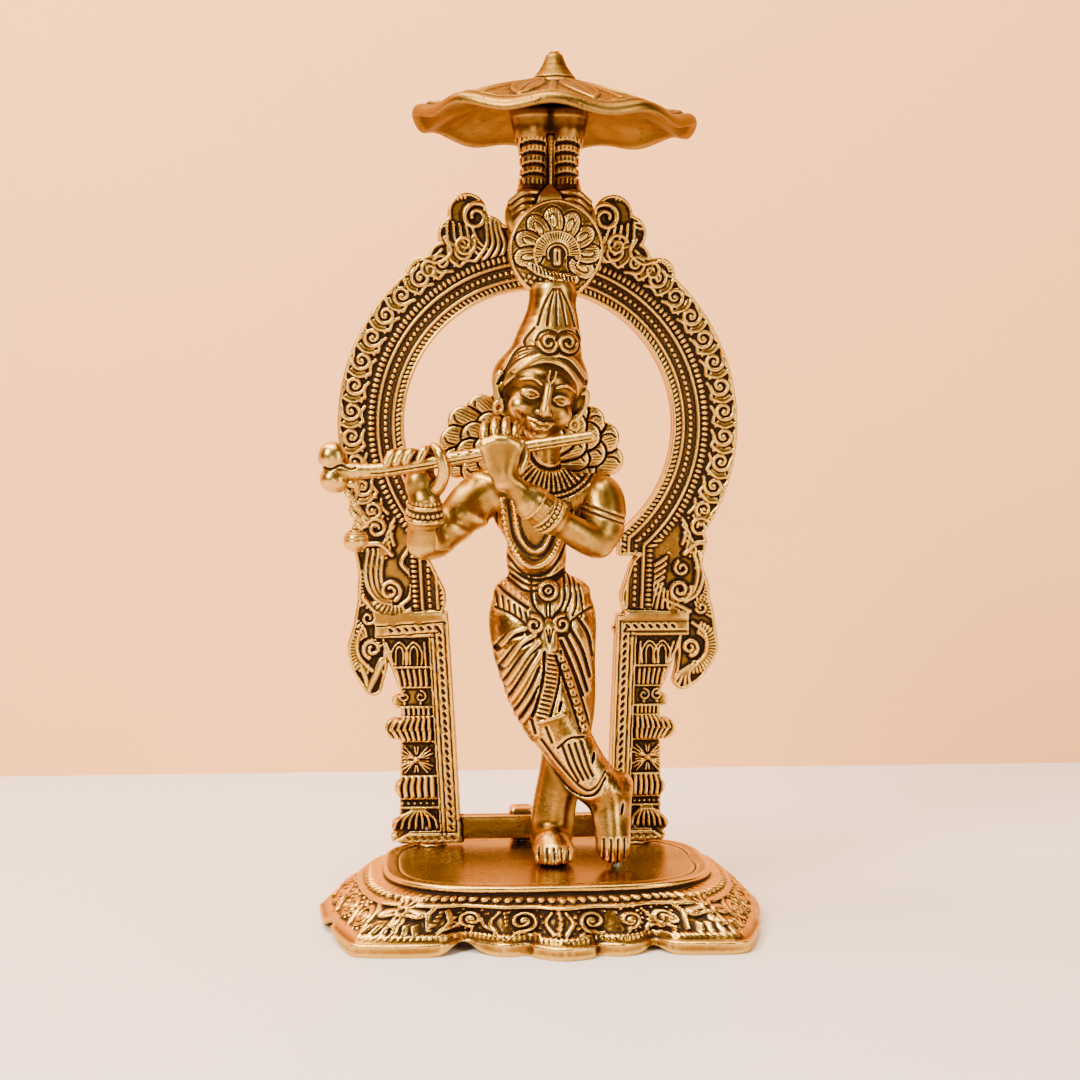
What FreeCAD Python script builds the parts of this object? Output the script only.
import FreeCAD, Part
import math
import os
import Sketcher
from FreeCAD import Placement, Rotation, Vector

# Hindu deity statue: a flute-playing figure with crossed legs, standing on a
# hollow base in front of a horseshoe arch that carries a round canopy.
# Cast brass throughout.  Units are millimetres, +Z is up, the front faces -Y.
# The origin is on the resting plane, under the standing figure.

doc = FreeCAD.newDocument("deity_statue")
sheet = doc.addObject("Spreadsheet::Sheet", "Sizes")

# ---------------------------------------------------------------- driving sizes
SIZES = {
    # base casting
    "base_length": 120.0,
    "base_depth": 78.6,
    "base_centre_y": -3.5,
    "base_lobe": 2.4,
    "base_lobe_pitch": 44.0,
    "base_wall": 2.6,
    "platform_length": 90.0,
    "platform_depth": 68.4,
    "platform_centre_y": -2.0,
    "platform_top": 16.8,
    "platform_thick": 2.6,
    "base_rim_height": 3.4,
    "front_gap_radius": 11.0,
    "side_gap_radius": 26.0,
    "gap_rise": 2.2,
    "foot_pad_radius": 4.0,
    "foot_pad_height": 0.8,
    # arch casting
    "arch_plane": 22.4,
    "arch_thick": 6.0,
    "arch_centre_height": 137.7,
    "arch_outer_radius": 57.3,
    "arch_inner_radius": 38.4,
    "arch_ridge_thick": 7.2,
    "pillar_foot_height": 17.6,
    "pillar_top_height": 101.5,
    "left_foot_outer": 42.0,
    "left_foot_inner": 22.2,
    "left_head_inner": 26.7,
    "right_foot_outer": 36.4,
    "right_foot_inner": 19.8,
    "right_head_inner": 22.6,
    "crossbar_bottom": 18.6,
    "crossbar_top": 25.2,
    "stem_x": 2.9,
    "stem_waist_width": 16.6,
    "stem_waist_depth": 9.0,
    "stem_flare_width": 20.0,
    "stem_flare_depth": 13.0,
    "stem_bottom": 192.0,
    "stem_top": 225.6,
    # canopy
    "canopy_x": 3.0,
    "canopy_y": 4.4,
    "canopy_radius": 39.3,
    "canopy_rim_height": 221.2,
    "canopy_rise": 11.4,
    "canopy_thick": 2.4,
    "canopy_tilt": 1.8,
    "canopy_waves": 8.0,
    "canopy_wave_cut": 1.2,
    "finial_radius": 6.2,
    "finial_tip": 240.0,
    "finial_shank_radius": 1.6,
    # figure
    "shoulder_width": 35.0,
    "chest_width": 31.0,
    "waist_width": 18.8,
    "hip_width": 27.2,
    "chest_depth": 16.0,
    "head_width": 19.5,
    "head_depth": 19.4,
    "head_x": -1.0,
    "head_z": 146.0,
    "turban_width": 27.0,
    "neck_width": 14.0,
    "topknot_width": 12.0,
    # limbs
    "thigh_radius": 7.6,
    "knee_radius": 6.6,
    "shin_radius": 5.6,
    "ankle_radius": 4.3,
    "foot_radius": 4.2,
    "upper_arm_radius": 5.0,
    "forearm_radius": 4.2,
    "wrist_radius": 3.6,
    "cuff_radius": 4.9,
    "palm_radius": 5.4,
    "finger_radius": 1.25,
    # feather crest and ruff
    "crest_x": 3.3,
    "crest_y": 3.4,
    "crest_z": 185.4,
    "crest_radius": 12.3,
    "crest_height": 26.6,
    "crest_thick": 3.6,
    "ruff_plane": 9.4,
    "ruff_thick": 4.4,
    "ruff_radius": 8.6,
    "ruff_petal_radius": 2.6,
    "ruff_petal_turn": 32,
    "ruff_left_x": 15.5,
    "ruff_left_z": 131,
    "ruff_right_x": -20,
    "ruff_right_z": 135.5,
    "ruff_bridge_length": 36,
    "ruff_bridge_height": 8,
    "ruff_bridge_z": 128,
    "crest_rim_thick": 2.4,
    "crest_stalk_length": 9,
    "crest_stalk_drop": 17,
    "crest_stalk_foot": 3,
    "crest_stalk_head": 4.2,
    "canopy_wave_radius": 12,
    "cuff_length": 4.2,
    "cuff_from_wrist": 2.5,
    "finger_pitch": 2.3,
    "finger_reach": 6.5,
    "toe_grip": 2.4,
    # flute and tassel
    "flute_radius": 1.8,
    "flute_tip_radius": 1.5,
    "bulb_radius": 3.9,
    "tassel_cord_radius": 0.8,
    "tassel_bead_radius": 3.3,
    # fasteners under the base
    "screw_radius": 1.5,
    "screw_clearance": 1.8,
    "screw_head_radius": 2.7,
    "screw_head_height": 2.2,
    "screw_slot": 0.8,
    "screw_grip": 5.0,
    "washer_radius": 3.2,
    "washer_thick": 0.8,
    "lug_radius": 3.6,
    "lug_thick": 2.6,
}

# joints of the limbs and the path of the flute, as x, y, z
POINTS = {
    "neck_low": (-0.4, 0.6, 123.5),
    "neck_mid": (-0.6, 0.2, 134.5),
    "neck_high": (-0.9, -1.6, 143.0),
    "front_hip": (-5.6, -0.6, 86.0),
    "front_thigh": (-4.4, -3.6, 74.0),
    "front_knee": (-0.8, -6.5, 61.0),
    "front_shin": (8.6, -8.6, 44.0),
    "front_ankle": (15.8, -8.5, 34.0),
    "front_heel": (18.6, -8.5, 26.0),
    "front_toe": (18.8, -12.0, 20.0),
    "front_toe_end": (18.8, -15.6, 18.4),
    "back_hip": (4.8, 1.6, 86.0),
    "back_thigh": (6.4, 1.9, 74.0),
    "back_knee": (7.6, 2.0, 59.0),
    "back_shin": (5.6, 1.2, 42.0),
    "back_ankle": (2.4, 0.6, 28.0),
    "back_heel": (1.6, 0.2, 20.6),
    "back_foot_back": (1.9, 4.2, 20.4),
    "back_heel_low": (1.6, 0.0, 20.4),
    "back_toe": (0.9, -9.6, 19.8),
    "back_toe_end": (0.7, -13.4, 18.4),
    "right_shoulder": (-15.5, 1.5, 121.5),
    "right_upper": (-24.6, -1.6, 112.0),
    "right_elbow": (-33.2, -6.0, 101.5),
    "right_wrist": (-33.5, -11.0, 116.5),
    "right_palm": (-34.5, -12.5, 123.5),
    "left_shoulder": (16.5, 0.5, 119.0),
    "left_upper": (16.8, -3.0, 111.5),
    "left_elbow": (13.4, -8.0, 105.5),
    "left_wrist": (-6.0, -18.0, 117.2),
    "left_palm": (-10.8, -19.2, 125.5),
    "flute_bulb_a": (-58.0, -11.5, 128.8),
    "flute_bulb_b": (-57.8, -11.5, 122.0),
    "flute_start": (-57.0, -12.0, 124.4),
    "flute_bend": (-33.0, -13.6, 127.0),
    "flute_end": (12.6, -17.4, 134.6),
    "tassel_top": (-52.6, -11.9, 123.1),
    "tassel_mid": (-53.4, -11.6, 115.0),
    "tassel_low": (-51.8, -11.2, 109.4),
}


def fill_sheet():
    row = 1
    cells = dict(SIZES)
    for name, place in POINTS.items():
        for axis, value in zip("xyz", place):
            cells[name + "_" + axis] = value
    for alias, value in cells.items():
        sheet.set("A%d" % row, alias)
        sheet.set("B%d" % row, str(value))
        sheet.setAlias("B%d" % row, alias)
        row += 1
    doc.recompute()


def size(alias):
    return float(getattr(sheet, alias))


def place(name):
    return Vector(size(name + "_x"), size(name + "_y"), size(name + "_z"))


# ---------------------------------------------------------------- small makers
def primitive(kind, name, at, turn=None, **sizes):
    """A Part primitive: its sizes and its place are expressions on the sheet."""
    thing = doc.addObject("Part::" + kind, name)
    if turn is not None:
        thing.Placement = Placement(Vector(), turn)
    for axis, expression in zip("xyz", at):
        thing.setExpression("Placement.Base." + axis, expression)
    for prop, expression in sizes.items():
        thing.setExpression(prop, expression)
    return thing


def at_point(name):
    return tuple("Sizes.%s_%s" % (name, axis) for axis in "xyz")


def ball(name, point, radius):
    return primitive("Sphere", name, at_point(point), Radius=radius)


def limb(name, joints, radii, side=Vector(0, 1, 0)):
    """A smooth round limb: circles at the joints, square to the path, lofted.

    side is a direction across the path, which keeps the circles from twisting.
    """
    centres = [joint if isinstance(joint, Vector) else place(joint) for joint in joints]
    rings = []
    for number, centre in enumerate(centres):
        before = centres[max(number - 1, 0)]
        after = centres[min(number + 1, len(centres) - 1)]
        ring = doc.addObject("Part::Circle", "%s_ring_%d" % (name, number))
        ring.Placement = Placement(centre, Rotation(side, Vector(), after - before, "ZXY"))
        ring.setExpression("Radius", radii[number])
        rings.append(ring)
    return loft(name, rings)


def fuse(name, shapes):
    thing = doc.addObject("Part::MultiFuse", name)
    thing.Shapes = shapes
    return thing


def cut(name, base, tool):
    thing = doc.addObject("Part::Cut", name)
    thing.Base = base
    thing.Tool = tool
    return thing


def body_with_plane(name, role):
    body = doc.addObject("PartDesign::Body", name)
    plane = next(item for item in body.Origin.OriginFeatures if item.Role == role)
    return body, plane


def sketch_on(body, plane, name, offset=None):
    """A sketch on one of the body's own origin planes; offset is an expression."""
    sketch = body.newObject("Sketcher::SketchObject", name)
    sketch.AttachmentSupport = [(plane, "")]
    sketch.MapMode = "FlatFace"
    if offset is not None:
        sketch.setExpression("AttachmentOffset.Base.z", offset)
    return sketch


def ring_of_lines(sketch, points):
    """A closed outline of straight lines through the points."""
    corners = [Vector(x, y, 0) for x, y in points]
    for start, end in zip(corners, corners[1:] + corners[:1]):
        sketch.addGeometry(Part.LineSegment(start, end), False)


def circle_in(sketch, centre, expression, value):
    """A circle whose radius follows the sheet."""
    index = sketch.addGeometry(Part.Circle(Vector(*centre, 0), Vector(0, 0, 1), value), False)
    row = sketch.addConstraint(Sketcher.Constraint("Radius", index, value))
    sketch.setExpression("Constraints[%d]" % row, expression)
    return index


def revolve(name, profile, at):
    """A turned piece: the profile is (radius, height) pairs about its own Z."""
    body, plane = body_with_plane(name, "XZ_Plane")
    sketch = sketch_on(body, plane, name + "_profile")
    ring_of_lines(sketch, profile)
    turned = body.newObject("PartDesign::Revolution", name + "_turned")
    turned.Profile = sketch
    turned.ReferenceAxis = (sketch, ["V_Axis"])
    turned.Angle = 360.0
    body.Placement = Placement(at, Rotation())
    body.Tip = turned
    return body


# ---------------------------------------------------------------- base casting
def base_outline(length, depth, centre_y, power, lobe, height, grow=0.0):
    """A closed smooth outline: a rounded box whose long sides are wavy."""
    points = []
    steps = 96
    for step in range(steps):
        angle = 2 * math.pi * step / steps
        across = math.copysign(abs(math.cos(angle)) ** (2 / power), math.cos(angle))
        along = math.copysign(abs(math.sin(angle)) ** (2 / power), math.sin(angle))
        x = (length / 2 + grow) * across
        y = (depth / 2 + grow) * along
        wave = math.cos(2 * math.pi * x / size("base_lobe_pitch"))
        y += lobe * wave * along * abs(math.sin(angle))
        points.append(Vector(x, y + centre_y, height))
    curve = Part.BSplineCurve()
    curve.interpolate(Points=points, PeriodicFlag=True)
    return Part.Wire(curve.toShape())


def base_body(grow, drop, bottom):
    """The skirted block of the base, shrunk by grow and lowered by drop."""
    top = size("platform_top") - drop
    rim = size("base_rim_height")
    length, depth = size("base_length"), size("base_depth")
    top_length, top_depth = size("platform_length"), size("platform_depth")
    middle, top_middle = size("base_centre_y"), size("platform_centre_y")
    lobe = size("base_lobe")
    skirt = [
        (length, depth, middle, 4.0, lobe, bottom),
        (length, depth, middle, 4.0, lobe, rim),
        (length - 5.0, depth - 4.0, middle, 3.6, 0.7 * lobe, rim + 3.6),
        (top_length + 9.0, top_depth + 2.6, top_middle, 3.3, 0.3 * lobe, rim + 8.0),
        (top_length, top_depth, top_middle, 3.1, 0.0, top - 0.6),
        (top_length - 0.8, top_depth - 0.8, top_middle, 3.1, 0.0, top),
    ]
    wires = [base_outline(*level, grow=-grow) for level in skirt]
    return Part.makeLoft(wires, True, True)


def pillar_screw_places():
    """Under each pillar's foot, just in front of its mid plane."""
    left = -(size("left_foot_outer") + size("left_foot_inner")) / 2
    right = (size("right_foot_outer") + size("right_foot_inner")) / 2
    row = size("arch_plane") - 0.8
    return [Vector(left, row, 0), Vector(right, row, 0)]


def foot_screw_places():
    """Up into the sole of the standing foot and the ball of the crossed foot."""
    heel = place("back_heel")
    toe = place("front_toe")
    return [Vector(heel.x, heel.y - 3.0, 0), Vector(toe.x, toe.y + 1.5, 0)]


def lug_screw_place():
    return Vector(-4.6, size("arch_plane") + size("arch_thick") / 2 + size("lug_radius") - 0.4, 0)


def screw_hole(at, radius, bottom, top):
    return Part.makeCylinder(radius, top - bottom, Vector(at.x, at.y, bottom))


def make_base():
    top = size("platform_top")
    floor = top - size("platform_thick")
    shell = base_body(0.0, 0.0, 0.0)
    hollow = base_body(size("base_wall"), size("platform_thick"), -1.0)
    solid = shell.cut(hollow)
    rise = size("gap_rise")
    front = size("front_gap_radius")
    side = size("side_gap_radius")
    reach = size("base_length")
    for sign in (-1, 1):
        x = sign * size("base_lobe_pitch") / 2
        start = Vector(x, -reach, rise - front)
        solid = solid.cut(Part.makeCylinder(front, 2 * reach, start, Vector(0, 1, 0)))
    start = Vector(-reach, size("base_centre_y"), rise - side)
    solid = solid.cut(Part.makeCylinder(side, 2 * reach, start, Vector(1, 0, 0)))
    pads = [screw_hole(at, size("foot_pad_radius"), top - 0.2, top + size("foot_pad_height"))
            for at in pillar_screw_places()]
    solid = solid.fuse(pads)
    holes = pillar_screw_places() + foot_screw_places() + [lug_screw_place()]
    for at in holes:
        solid = solid.cut(screw_hole(at, size("screw_clearance"), floor - 3, top + 3))
    return solid.removeSplitter()


# ---------------------------------------------------------------- arch casting
def arc(sketch, start, middle, end):
    first, second, third = (Vector(x, y, 0) for x, y in (start, middle, end))
    sketch.addGeometry(Part.Arc(first, second, third), False)


def line(sketch, start, end):
    sketch.addGeometry(Part.LineSegment(Vector(*start, 0), Vector(*end, 0)), False)


def chain(sketch, start, steps):
    """Lines and three-point arcs, one after another, back to the start."""
    here = start
    for step in steps:
        if len(step) == 2:
            line(sketch, here, step)
            here = step
        else:
            arc(sketch, here, step[:2], step[2:])
            here = step[2:]
    line(sketch, here, start)


def arch_outer(sketch):
    """Pillar feet, the scrolls outside the pillars and the round head."""
    centre = size("arch_centre_height")
    radius = size("arch_outer_radius")
    low = 109.0
    reach = math.sqrt(radius ** 2 - (centre - low) ** 2)
    foot = size("pillar_foot_height")
    left, right = -size("left_foot_outer"), size("right_foot_outer")
    left_scroll = [
        (left + 1.0, 61.0),
        (-46.0, 58.6, -51.5, 62.0),
        (-56.5, 70.0, -53.0, 80.0),
        (-54.6, 88.0, -51.0, 97.0),
        (-52.0, 103.0, -reach, low),
    ]
    right_scroll = [
        (49.2, 103.0, 46.6, 99.0),
        (49.4, 90.0, 49.6, 82.0),
        (54.0, 72.0, 48.6, 64.5),
        (44.0, 58.6, right + 1.2, 61.0),
        (right, foot),
    ]
    head = [(0.0, centre + radius, reach, low)]
    chain(sketch, (left, foot), left_scroll + head + right_scroll)


def arch_window(sketch):
    """The opening: pillars' inner edges and the round head, above the crossbar."""
    centre = size("arch_centre_height")
    radius = size("arch_inner_radius")
    top = size("pillar_top_height")
    bar = size("crossbar_top")
    left_foot, right_foot = -size("left_foot_inner") - 0.4, size("right_foot_inner") + 0.2
    left_head, right_head = -size("left_head_inner"), size("right_head_inner")
    low = 112.0
    reach = math.sqrt(radius ** 2 - (centre - low) ** 2)
    chain(sketch, (left_foot, bar), [
        (left_head, top),
        (-reach, low),
        (0.0, centre + radius, reach, low),
        (right_head, top),
        (right_foot, bar),
    ])


def pad(body, sketch, name, length):
    feature = body.newObject("PartDesign::Pad", name)
    feature.Profile = sketch
    feature.SideType = "Symmetric"
    feature.setExpression("Length", length)
    body.Tip = feature
    return feature


def pocket(body, sketch, name, length):
    feature = body.newObject("PartDesign::Pocket", name)
    feature.Profile = sketch
    feature.SideType = "Symmetric"
    feature.setExpression("Length", length)
    body.Tip = feature
    return feature


def arch_crest(sketch):
    """Two curled crest shapes on the shoulders of the arch."""
    for sign in (-1, 1):
        chain(sketch, (sign * 6.0 + 2.4, 181.0), [
            (sign * 36.0 + 0.6, 177.0),
            (sign * 38.0 + 0.6, 183.0, sign * 30.0 + 1.0, 188.0),
            (sign * 29.0 + 1.4, 197.0, sign * 20.0 + 2.4, 203.4),
            (sign * 13.0 + 2.4, 206.0, sign * 9.0 + 2.4, 199.0),
        ])


def arch_stem(body):
    """The waisted stem between the arch and the canopy."""
    levels = [
        ("stem_bottom", "stem_flare_width", "stem_waist_depth"),
        ("stem_bottom + 11", "stem_flare_width", "stem_waist_depth"),
        ("stem_bottom + 19", "stem_waist_width", "stem_waist_depth"),
        ("stem_bottom + 26", "stem_flare_width", "stem_flare_depth"),
        ("stem_top", "stem_flare_width", "stem_flare_depth"),
    ]
    plane = next(item for item in body.Origin.OriginFeatures if item.Role == "XY_Plane")
    sections = []
    for number, (height, width, depth) in enumerate(levels):
        sketch = sketch_on(body, plane, "stem_section_%d" % number, "Sizes." + height)
        half = size(width) / 2
        deep = size(depth) / 2
        x, y = size("stem_x"), size("arch_plane") - 1.0
        ring_of_lines(sketch, [(x - half, y - deep), (x + half, y - deep),
                               (x + half, y + deep), (x - half, y + deep)])
        sections.append(sketch)
    loft = body.newObject("PartDesign::AdditiveLoft", "stem")
    loft.Profile = sections[0]
    loft.Sections = sections[1:]
    loft.Ruled = True
    body.Tip = loft


def make_arch():
    body, plane = body_with_plane("arch_body", "XZ_Plane")
    middle = "-Sizes.arch_plane"
    outline = sketch_on(body, plane, "arch_outline", middle)
    arch_outer(outline)
    pad(body, outline, "arch_plate", "Sizes.arch_thick")
    crest = sketch_on(body, plane, "crest_outline", middle)
    arch_crest(crest)
    pad(body, crest, "arch_crest", "Sizes.arch_ridge_thick")
    ridge = sketch_on(body, plane, "ridge_outline", middle)
    centre = (0.0, size("arch_centre_height"))
    outer = "Sizes.arch_inner_radius + 9.6"
    inner = "Sizes.arch_inner_radius"
    circle_in(ridge, centre, outer, size("arch_inner_radius") + 9.6)
    circle_in(ridge, centre, inner, size("arch_inner_radius"))
    pad(body, ridge, "arch_ridge", "Sizes.arch_ridge_thick")
    window = sketch_on(body, plane, "arch_window", middle)
    arch_window(window)
    pocket(body, window, "window", "4 * Sizes.arch_thick")
    gap = sketch_on(body, plane, "gap_under_crossbar", middle)
    foot, bar = size("pillar_foot_height"), size("crossbar_bottom")
    left, right = -size("left_foot_inner"), size("right_foot_inner")
    ring_of_lines(gap, [(left, foot - 1), (right, foot - 1), (right, bar), (left, bar)])
    pocket(body, gap, "gap", "4 * Sizes.arch_thick")
    lug_height = "Sizes.crossbar_top + 1.6 - Sizes.platform_top"
    arch_stem(body)
    at = lug_screw_place()
    lug = primitive("Cylinder", "arch_lug",
                    (str(at.x), str(at.y - 1.0), "Sizes.platform_top"),
                    Radius="Sizes.lug_radius", Height=lug_height)
    return fuse("arch_solid", [body, lug])


# ---------------------------------------------------------------- canopy
def make_canopy():
    body, plane = body_with_plane("canopy_body", "XZ_Plane")
    sketch = sketch_on(body, plane, "canopy_profile")
    radius, rise, thick = size("canopy_radius"), size("canopy_rise"), size("canopy_thick")
    bore = size("finial_shank_radius")
    rim = size("canopy_rim_height")
    chain(sketch, (bore, rim + rise - thick), [
        (0.55 * radius, rim + 0.62 * rise - thick, radius - 0.6, rim - thick / 2),
        (radius + 0.2, rim, radius - 0.6, rim + thick / 2),
        (0.55 * radius, rim + 0.62 * rise, bore, rim + rise),
    ])
    dish = body.newObject("PartDesign::Revolution", "canopy_dish")
    dish.Profile = sketch
    dish.ReferenceAxis = (sketch, ["V_Axis"])
    dish.Angle = 360.0
    body.Tip = dish
    doc.recompute()
    flat = next(item for item in body.Origin.OriginFeatures if item.Role == "XY_Plane")
    wave = sketch_on(body, flat, "rim_wave", "Sizes.canopy_rim_height")
    reach = size("canopy_wave_radius")
    centre = (radius + reach - size("canopy_wave_cut"), 0.0)
    circle_in(wave, centre, "Sizes.canopy_wave_radius", reach)
    scallop = pocket(body, wave, "rim_scallop", "8 * Sizes.canopy_thick")
    pattern = body.newObject("PartDesign::PolarPattern", "rim_scallops")
    pattern.Originals = [scallop]
    pattern.Axis = (wave, ["N_Axis"])
    pattern.Angle = 360.0
    pattern.setExpression("Occurrences", "Sizes.canopy_waves")
    body.Tip = pattern
    lean = Rotation(Vector(0, 1, 0), size("canopy_tilt"))
    pivot = Vector(0, 0, rim)
    shift = pivot - lean.multVec(pivot)
    body.Placement = Placement(shift + Vector(size("canopy_x"), size("canopy_y"), 0), lean)
    return body


def make_finial():
    crown = size("canopy_rim_height") + size("canopy_rise")
    tip = size("finial_tip")
    wide, shank = size("finial_radius"), size("finial_shank_radius")
    under = crown - size("canopy_thick")
    at = Vector(size("canopy_x"), size("canopy_y"), 0)
    return revolve("finial_body", [
        (0, under), (shank, under), (shank, crown - 0.6), (wide, crown - 0.9), (wide - 0.6, crown + 0.7),
        (0.42 * wide, crown + 2.6), (0.3 * wide, tip - 1.2), (0.14 * wide, tip), (0, tip),
    ], at)


# ---------------------------------------------------------------- figure
def oval(name, x, y, z, half_width, half_depth):
    """One horizontal section of the torso; every size is an expression."""
    thing = doc.addObject("Part::Ellipse", name)
    thing.setExpression("MajorRadius", half_width)
    thing.setExpression("MinorRadius", half_depth)
    for axis, value in zip("xyz", (x, y, z)):
        thing.setExpression("Placement.Base." + axis, value)
    return thing


def loft(name, sections):
    thing = doc.addObject("Part::Loft", name)
    thing.Sections = sections
    thing.Solid = True
    thing.Ruled = False
    return thing


# centre x, y, z of each section, the width it follows, and its shares of that width and of the depth
TORSO_SECTIONS = [
    (-0.4, 0.5, 76, "hip_width", 0.45, 0.47),
    (-1.0, 0.5, 88, "hip_width", 0.5, 0.56),
    (-1.8, 0.8, 100, "waist_width", 0.5, 0.42),
    (0.6, 1.0, 110, "chest_width", 0.43, 0.48),
    (0.8, 1.2, 120, "shoulder_width", 0.5, 0.5),
    (0.4, 1.2, 128, "shoulder_width", 0.4, 0.42),
    (-0.4, 0.4, 133, "shoulder_width", 0.19, 0.34),
]


def make_torso():
    rings = []
    for number, (x, y, z, width, wide_share, deep_share) in enumerate(TORSO_SECTIONS):
        half_width = "Sizes.%s * %g" % (width, wide_share)
        half_depth = "Sizes.chest_depth * %g" % deep_share
        rings.append(oval("torso_ring_%d" % number, str(x), str(y), str(z), half_width, half_depth))
    return loft("torso", rings)


# x from the head's middle, y, z above the head's middle, then the width and depth followed and their shares
HEAD_SECTIONS = [
    (0.4, -7.0, -12.4, "head_width", 0.23, "head_depth", 0.22),
    (0.0, -5.2, -8, "head_width", 0.39, "head_depth", 0.39),
    (0.0, -3.8, 0, "head_width", 0.5, "head_depth", 0.49),
    (0.0, -2.4, 5, "turban_width", 0.42, "turban_width", 0.41),
    (0.6, -0.8, 9, "turban_width", 0.45, "turban_width", 0.43),
    (1.8, 0.4, 14, "turban_width", 0.38, "turban_width", 0.36),
    (2.6, 1.4, 20, "topknot_width", 0.56, "topknot_width", 0.55),
    (2.8, 1.8, 26.5, "topknot_width", 0.48, "topknot_width", 0.45),
]


def make_head():
    """Chin, face, wrapped turban and gathered top-knot as one smooth loft."""
    rings = []
    for number, (x, y, z, width, wide_share, depth, deep_share) in enumerate(HEAD_SECTIONS):
        at = ("Sizes.head_x + %g" % x, str(y), "Sizes.head_z + %g" % z)
        half_width = "Sizes.%s * %g" % (width, wide_share)
        half_depth = "Sizes.%s * %g" % (depth, deep_share)
        rings.append(oval("head_ring_%d" % number, *at, half_width, half_depth))
    return loft("head", rings)


def figure_pieces():
    thigh, knee, shin = "Sizes.thigh_radius", "Sizes.knee_radius", "Sizes.shin_radius"
    ankle, foot = "Sizes.ankle_radius", "Sizes.foot_radius"
    front = limb("front_leg", ["front_hip", "front_thigh", "front_knee", "front_shin", "front_ankle"],
                 [thigh, thigh + " * 0.96", knee, shin, ankle])
    back = limb("back_leg", ["back_hip", "back_thigh", "back_knee", "back_shin", "back_ankle", "back_heel"],
                [thigh, thigh + " * 0.96", knee, shin, ankle, ankle])
    instep = limb("front_foot", ["front_ankle", "front_heel", "front_toe", "front_toe_end"],
                  [ankle + " * 0.98", foot, "Sizes.front_toe_z - Sizes.platform_top", foot + " * 0.4"],
                  Vector(1, 0, 0))
    sole = limb("back_foot", ["back_foot_back", "back_heel_low", "back_toe", "back_toe_end"],
                [foot + " * 0.5", "Sizes.back_heel_low_z - Sizes.platform_top",
                 "Sizes.back_toe_z - Sizes.platform_top", foot + " * 0.35"], Vector(1, 0, 0))
    neck = limb("neck", ["neck_low", "neck_mid", "neck_high"], [
        "Sizes.neck_width * 0.62", "Sizes.neck_width * 0.5", "Sizes.neck_width * 0.46"])
    return [make_torso(), make_head(), neck, front, back, instep, sole]


# ---------------------------------------------------------------- flute and tassel
def make_flute():
    """A slightly bent rod with two round lobes at one end."""
    tube, tip = "Sizes.flute_radius", "Sizes.flute_tip_radius"
    bulb = "Sizes.bulb_radius"
    return fuse("flute_solid", [
        limb("flute_rod", ["flute_start", "flute_bend", "flute_end"], [tube, tube, tip]),
        ball("flute_lobe_a", "flute_bulb_a", bulb),
        ball("flute_lobe_b", "flute_bulb_b", bulb + " * 0.9"),
    ])


def make_tassel_cord():
    cord = "Sizes.tassel_cord_radius"
    return limb("tassel_cord_solid", ["tassel_top", "tassel_mid", "tassel_low"], [cord, cord, cord])


def make_tassel_bead():
    at = ("Sizes.tassel_low_x", "Sizes.tassel_low_y",
          "Sizes.tassel_low_z - Sizes.tassel_bead_radius * 0.9")
    return primitive("Sphere", "tassel_bead_ball", at, Radius="Sizes.tassel_bead_radius")


# ---------------------------------------------------------------- arms and hands
def make_fingers(name, palm, spread, reach, lift, depth):
    """Four fingers side by side from the palm: root, curl and tip of each."""
    pieces = []
    centre = place(palm)
    for number in range(4):
        side = (number - 1.5) * spread
        root = centre + Vector(side, -depth, lift)
        tip = root + Vector(side * 0.35, 0.6, reach - abs(number - 1.4) * 1.1)
        middle = (root + tip) * 0.5 + Vector(0, -0.5, 0)
        pieces.append(limb("%s_finger_%d" % (name, number), [root, middle, tip], [
            "Sizes.finger_radius", "Sizes.finger_radius", "Sizes.finger_radius * 0.8"]))
    return pieces


def make_arm(side, lift, depth):
    upper, fore = "Sizes.upper_arm_radius", "Sizes.forearm_radius"
    wrist, cuff = "Sizes.wrist_radius", "Sizes.cuff_radius"
    shoulder, elbow, hand = side + "_shoulder", side + "_elbow", side + "_wrist"
    palm = side + "_palm"
    middle = place(hand) + (place(elbow) - place(hand)).normalize() * size("cuff_from_wrist")
    band = doc.addObject("Part::Cylinder", side + "_cuff")
    band.setExpression("Radius", cuff)
    band.setExpression("Height", "Sizes.cuff_length")
    band.Placement = Placement(middle, Rotation(Vector(0, 0, 1), place(elbow) - place(hand)))
    palm_size = "Sizes.palm_radius"
    palm_solid = primitive("Ellipsoid", side + "_palm_solid", at_point(palm),
                           Radius1=palm_size + " * 1.25", Radius2=palm_size,
                           Radius3=palm_size + " * 0.62",
                           Angle1="-90", Angle2="90", Angle3="360")
    arm = limb(side + "_arm", [shoulder, side + "_upper", elbow], [upper, upper, fore])
    forearm = limb(side + "_forearm", [elbow, hand, palm], [fore, wrist, wrist + " * 0.9"])
    return [
        arm,
        forearm,
        ball(side + "_elbow_ball", elbow, fore + " + 0.5"),
        band,
        palm_solid,
    ] + make_fingers(side, palm, size("finger_pitch"), size("finger_reach"), lift, depth)


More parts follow.
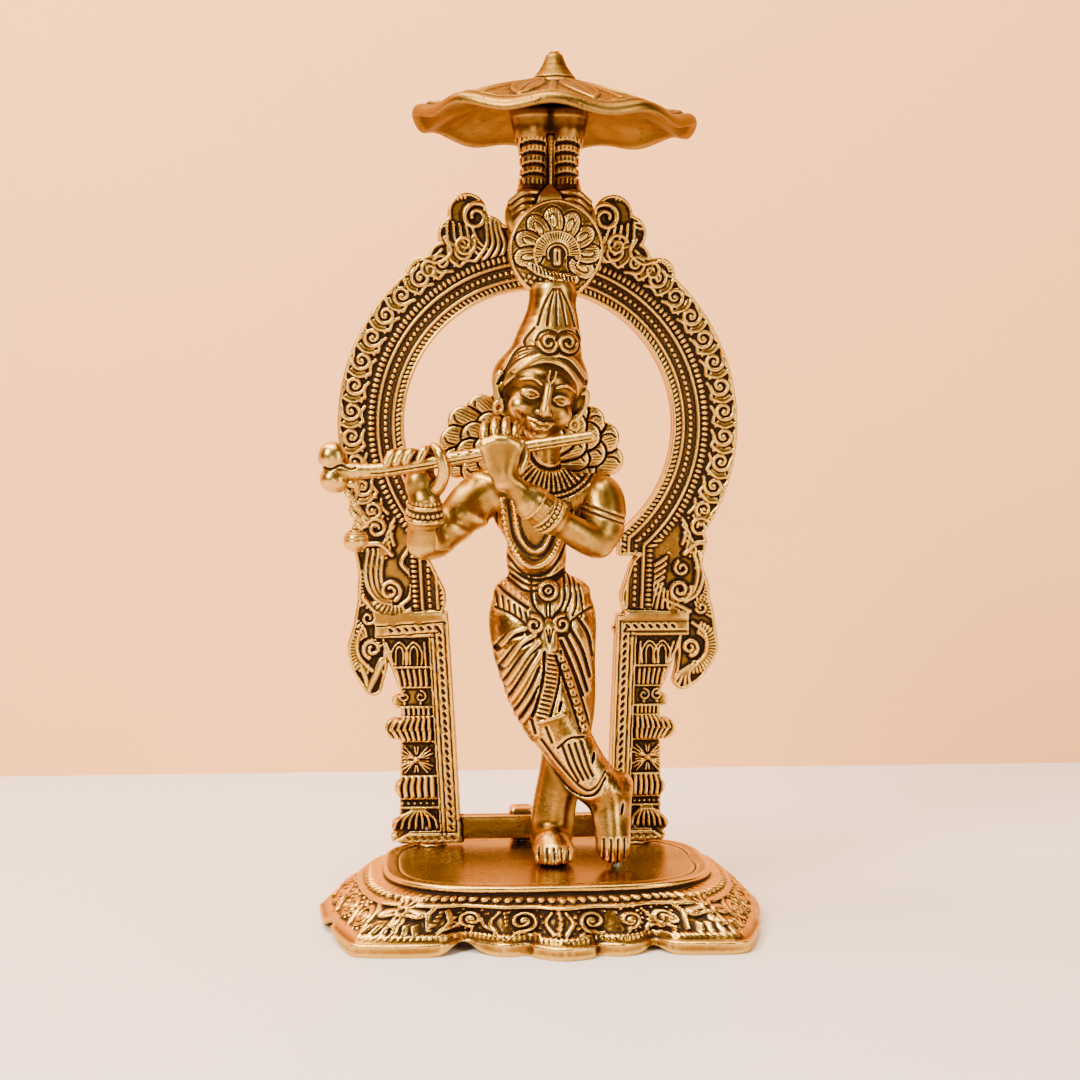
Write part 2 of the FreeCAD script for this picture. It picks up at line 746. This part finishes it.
# ---------------------------------------------------------------- crest and ruff
def make_crest():
    """The feather medallion: a rounded plate with a short stalk."""
    x, y, z = "Sizes.crest_x", "Sizes.crest_y", "Sizes.crest_z"
    half = "Sizes.crest_thick / 2"
    plate = primitive("Ellipsoid", "crest_plate", (x, y, z),
                      Radius1="Sizes.crest_height / 2", Radius2="Sizes.crest_radius",
                      Radius3=half, Angle1="-90", Angle2="90", Angle3="360")
    rim_at = (x, y + " + Sizes.crest_rim_thick / 2", z + " + 1.2")
    rim = primitive("Cylinder", "crest_rim", rim_at, Rotation(Vector(1, 0, 0), 90),
                    Radius="Sizes.crest_radius * 0.96", Height="Sizes.crest_rim_thick")
    stalk = primitive("Cone", "crest_stalk", (x + " - 1", y, z + " - Sizes.crest_stalk_drop"),
                      Radius1="Sizes.crest_stalk_foot", Radius2="Sizes.crest_stalk_head",
                      Height="Sizes.crest_stalk_length")
    return fuse("crest_solid", [plate, rim, stalk])


def make_ruff():
    """A leafy collar behind both shoulders, joined behind the neck."""
    back = Rotation(Vector(1, 0, 0), 90)
    depth = "Sizes.ruff_thick"
    plane = "Sizes.ruff_plane"
    pieces = []
    for side, outward in (("left", 0), ("right", 180)):
        x, z = "Sizes.ruff_%s_x" % side, "Sizes.ruff_%s_z" % side
        pieces.append(primitive("Cylinder", "ruff_disc_" + side, (x, plane, z), back,
                                Radius="Sizes.ruff_radius", Height=depth))
        for number in range(-2, 3):
            angle = math.radians(outward + number * size("ruff_petal_turn"))
            name = "ruff_petal_%s_%d" % (side, number + 2)
            at = ("%s + Sizes.ruff_radius * %.4f" % (x, math.cos(angle)), plane,
                  "%s + Sizes.ruff_radius * %.4f" % (z, math.sin(angle)))
            pieces.append(primitive("Cylinder", name, at, back,
                                    Radius="Sizes.ruff_petal_radius", Height=depth))
    corner = ("Sizes.ruff_right_x", plane + " - " + depth, "Sizes.ruff_bridge_z")
    pieces.append(primitive("Box", "ruff_bridge", corner, Length="Sizes.ruff_bridge_length",
                            Width=depth, Height="Sizes.ruff_bridge_height"))
    return fuse("ruff_solid", pieces)


# ---------------------------------------------------------------- fasteners
def make_screws(name, places, bottoms, grips):
    """A group of equal pan-head screws, heads down under the base."""
    solids = []
    for at, bottom, grip in zip(places, bottoms, grips):
        radius, head = size("screw_radius"), size("screw_head_radius")
        tall, slot = size("screw_head_height"), size("screw_slot")
        top = Part.makeCylinder(head, tall, Vector(at.x, at.y, bottom - tall))
        corner = Vector(at.x - 1.5 * head, at.y - slot / 2, bottom - tall)
        groove = Part.makeBox(3 * head, slot, slot, corner)
        shank = Part.makeCylinder(radius, grip - 0.2, Vector(at.x, at.y, bottom))
        solids.append(top.cut(groove).fuse(shank))
    thing = doc.addObject("Part::Feature", name)
    thing.Shape = Part.makeCompound(solids)
    return thing


def make_washers(name, places, bottom):
    solids = []
    for at in places:
        disc = Part.makeCylinder(size("washer_radius"), size("washer_thick"), Vector(at.x, at.y, bottom))
        hole = Part.makeCylinder(size("screw_clearance"), size("washer_thick"), Vector(at.x, at.y, bottom))
        solids.append(disc.cut(hole))
    thing = doc.addObject("Part::Feature", name)
    thing.Shape = Part.makeCompound(solids)
    return thing


def feature(name, shape):
    thing = doc.addObject("Part::Feature", name)
    thing.Shape = shape
    return thing


def bores(name, places, bottom, grip):
    """Threaded bores that take the screws, as one cutting tool."""
    radius = size("screw_radius")
    return feature(name, Part.makeCompound([screw_hole(at, radius, bottom, bottom + grip) for at in places]))


# ---------------------------------------------------------------- assembly
def build():
    fill_sheet()
    top = size("platform_top")
    under = top - size("platform_thick")
    washer_bottom = under - size("washer_thick")
    grip = size("screw_grip")

    base = feature("base_casting", make_base())
    figure_screws = make_screws("figure_screws", foot_screw_places(), [washer_bottom] * 2,
                                [top - washer_bottom + grip, top - washer_bottom + size("toe_grip")])
    figure_washers = make_washers("figure_washers", foot_screw_places(), washer_bottom)
    pillar_grip = size("pillar_foot_height") - washer_bottom + grip
    pillar_screws = make_screws("pillar_screws", pillar_screw_places(), [washer_bottom] * 2, [pillar_grip] * 2)
    pillar_washers = make_washers("pillar_washers", pillar_screw_places(), washer_bottom)
    lug_places = [lug_screw_place() + Vector(0, -1.0, 0)]
    lug_screw = make_screws("arch_lug_screw", lug_places, [under], [top - under + grip])

    canopy = make_canopy()
    finial = cut("canopy_finial", make_finial(), canopy)
    arch_bores = bores("arch_bores", pillar_screw_places() + lug_places, top - 1, grip + 2)
    arch_whole = cut("arch_bored", make_arch(), arch_bores)
    arch = cut("arch_casting", arch_whole, canopy)

    figure_bores = feature("figure_bores", Part.makeCompound([
        screw_hole(foot_screw_places()[0], size("screw_radius"), top - 1, top + grip),
        screw_hole(foot_screw_places()[1], size("screw_radius"), top - 1, top + size("toe_grip"))]))
    figure_whole = fuse("figure_solid", figure_pieces())
    figure_bored = cut("figure_bored", figure_whole, figure_bores)
    figure = cut("figure_casting", figure_bored, base)

    flute = cut("flute", make_flute(), figure_whole)
    tassel_cord = cut("tassel_cord", make_tassel_cord(), flute)
    tassel_bead = cut("tassel_bead", make_tassel_bead(), tassel_cord)

    neighbours = fuse("arm_neighbours", [figure_whole, flute])
    right_arm = cut("right_arm", fuse("right_arm_solid", make_arm("right", 1.0, 3.1)), neighbours)
    left_arm = cut("left_arm", fuse("left_arm_solid", make_arm("left", 5.0, 0.4)), neighbours)

    crest = cut("feather_crest", make_crest(), figure_whole)
    arms = fuse("both_arms", [left_arm, right_arm])
    ruff = cut("shoulder_ruff", cut("ruff_trimmed", make_ruff(), figure_whole), arms)

    named = {
        "base_casting": base, "arch_casting": arch, "canopy_casting": canopy, "canopy_finial": finial,
        "figure_casting": figure, "right_arm_casting": right_arm, "left_arm_casting": left_arm,
        "flute": flute, "flute_tassel_cord": tassel_cord, "flute_tassel_bead": tassel_bead,
        "feather_crest": crest, "shoulder_ruff": ruff,
        "figure_screws": figure_screws, "figure_washers": figure_washers,
        "pillar_screws": pillar_screws, "pillar_washers": pillar_washers,
        "arch_lug_screw": lug_screw,
    }
    doc.recompute()
    return named


def check_and_write(named):
    for thing in doc.Objects:
        if "Invalid" in thing.State or "Error" in thing.State:
            raise RuntimeError("%s is in state %s" % (thing.Name, thing.State))
    os.makedirs("parts", exist_ok=True)
    for label, thing in named.items():
        thing.Label = label
        shape = thing.Shape
        if shape.isNull() or not shape.isValid():
            raise RuntimeError(label + " has no valid shape")
        box = shape.BoundBox
        print("%-20s solids %d volume %9.1f  x %.1f..%.1f y %.1f..%.1f z %.1f..%.1f" % (
            label, len(shape.Solids), shape.Volume, box.XMin, box.XMax,
            box.YMin, box.YMax, box.ZMin, box.ZMax))
    for label, thing in named.items():
        thing.Shape.exportStep(os.path.join("parts", label + ".step"))


check_and_write(build())
